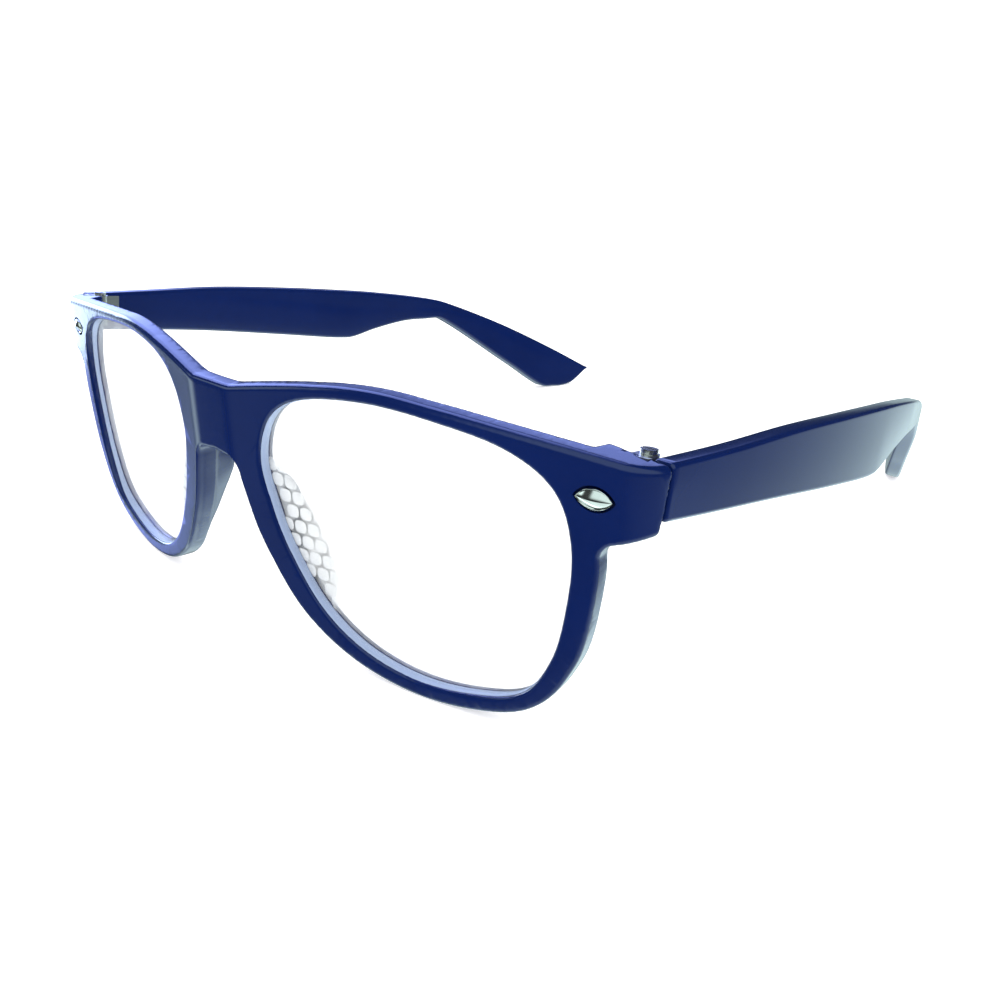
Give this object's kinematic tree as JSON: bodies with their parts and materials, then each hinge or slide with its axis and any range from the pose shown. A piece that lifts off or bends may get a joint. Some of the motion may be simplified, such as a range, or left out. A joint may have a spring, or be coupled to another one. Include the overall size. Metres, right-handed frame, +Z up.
{
  "type": "diffraction glasses",
  "caption": "Moulded plastic glasses frame with clear lenses backed by diffraction film, and two folding temple arms on screw hinges.",
  "frame": {"origin": "middle of the base of the whole box: on the table, in the mirror plane of the bridge, halfway from the bridge to the arm tips", "axes": "+X to the wearer's left, -Y out of the front of the lenses, +Z up; the glasses stand open on the rims and arm tips"},
  "size_m": [0.1474, 0.1502, 0.0457],
  "materials": {
    "blue_plastic": "polished, injection moulded",
    "clear_lens": "clear and polished",
    "diffraction_film": "clear film with fine moulded cells",
    "hinge_metal": "satin",
    "screw_metal": "turned, bright",
    "stud_chrome": "polished"
  },
  "bodies": {
    "front": {"front_frame": "blue_plastic", "lens_left": "clear_lens", "lens_right": "clear_lens", "film_left": "diffraction_film", "film_right": "diffraction_film", "hinge_front_leaf_left": "hinge_metal", "hinge_front_leaf_right": "hinge_metal", "hinge_screw_left": "screw_metal", "hinge_screw_right": "screw_metal", "stud_left": "stud_chrome", "stud_right": "stud_chrome"},
    "arm_left": {"temple_left": "blue_plastic", "hinge_temple_leaf_left": "hinge_metal"},
    "arm_right": {"temple_right": "blue_plastic", "hinge_temple_leaf_right": "hinge_metal"}
  },
  "joints": [
    {"name": "fold_left", "type": "hinge", "parent": "front", "child": "arm_left", "pos_m": [0.06845, -0.05732, 0.03903], "axis": [0, 0.1564, 0.9877], "range_deg": [0, 80]},
    {"name": "fold_right", "type": "hinge", "parent": "front", "child": "arm_right", "pos_m": [-0.06845, -0.05732, 0.03903], "axis": [0, -0.1564, -0.9877], "range_deg": [0, 70]}
  ]
}
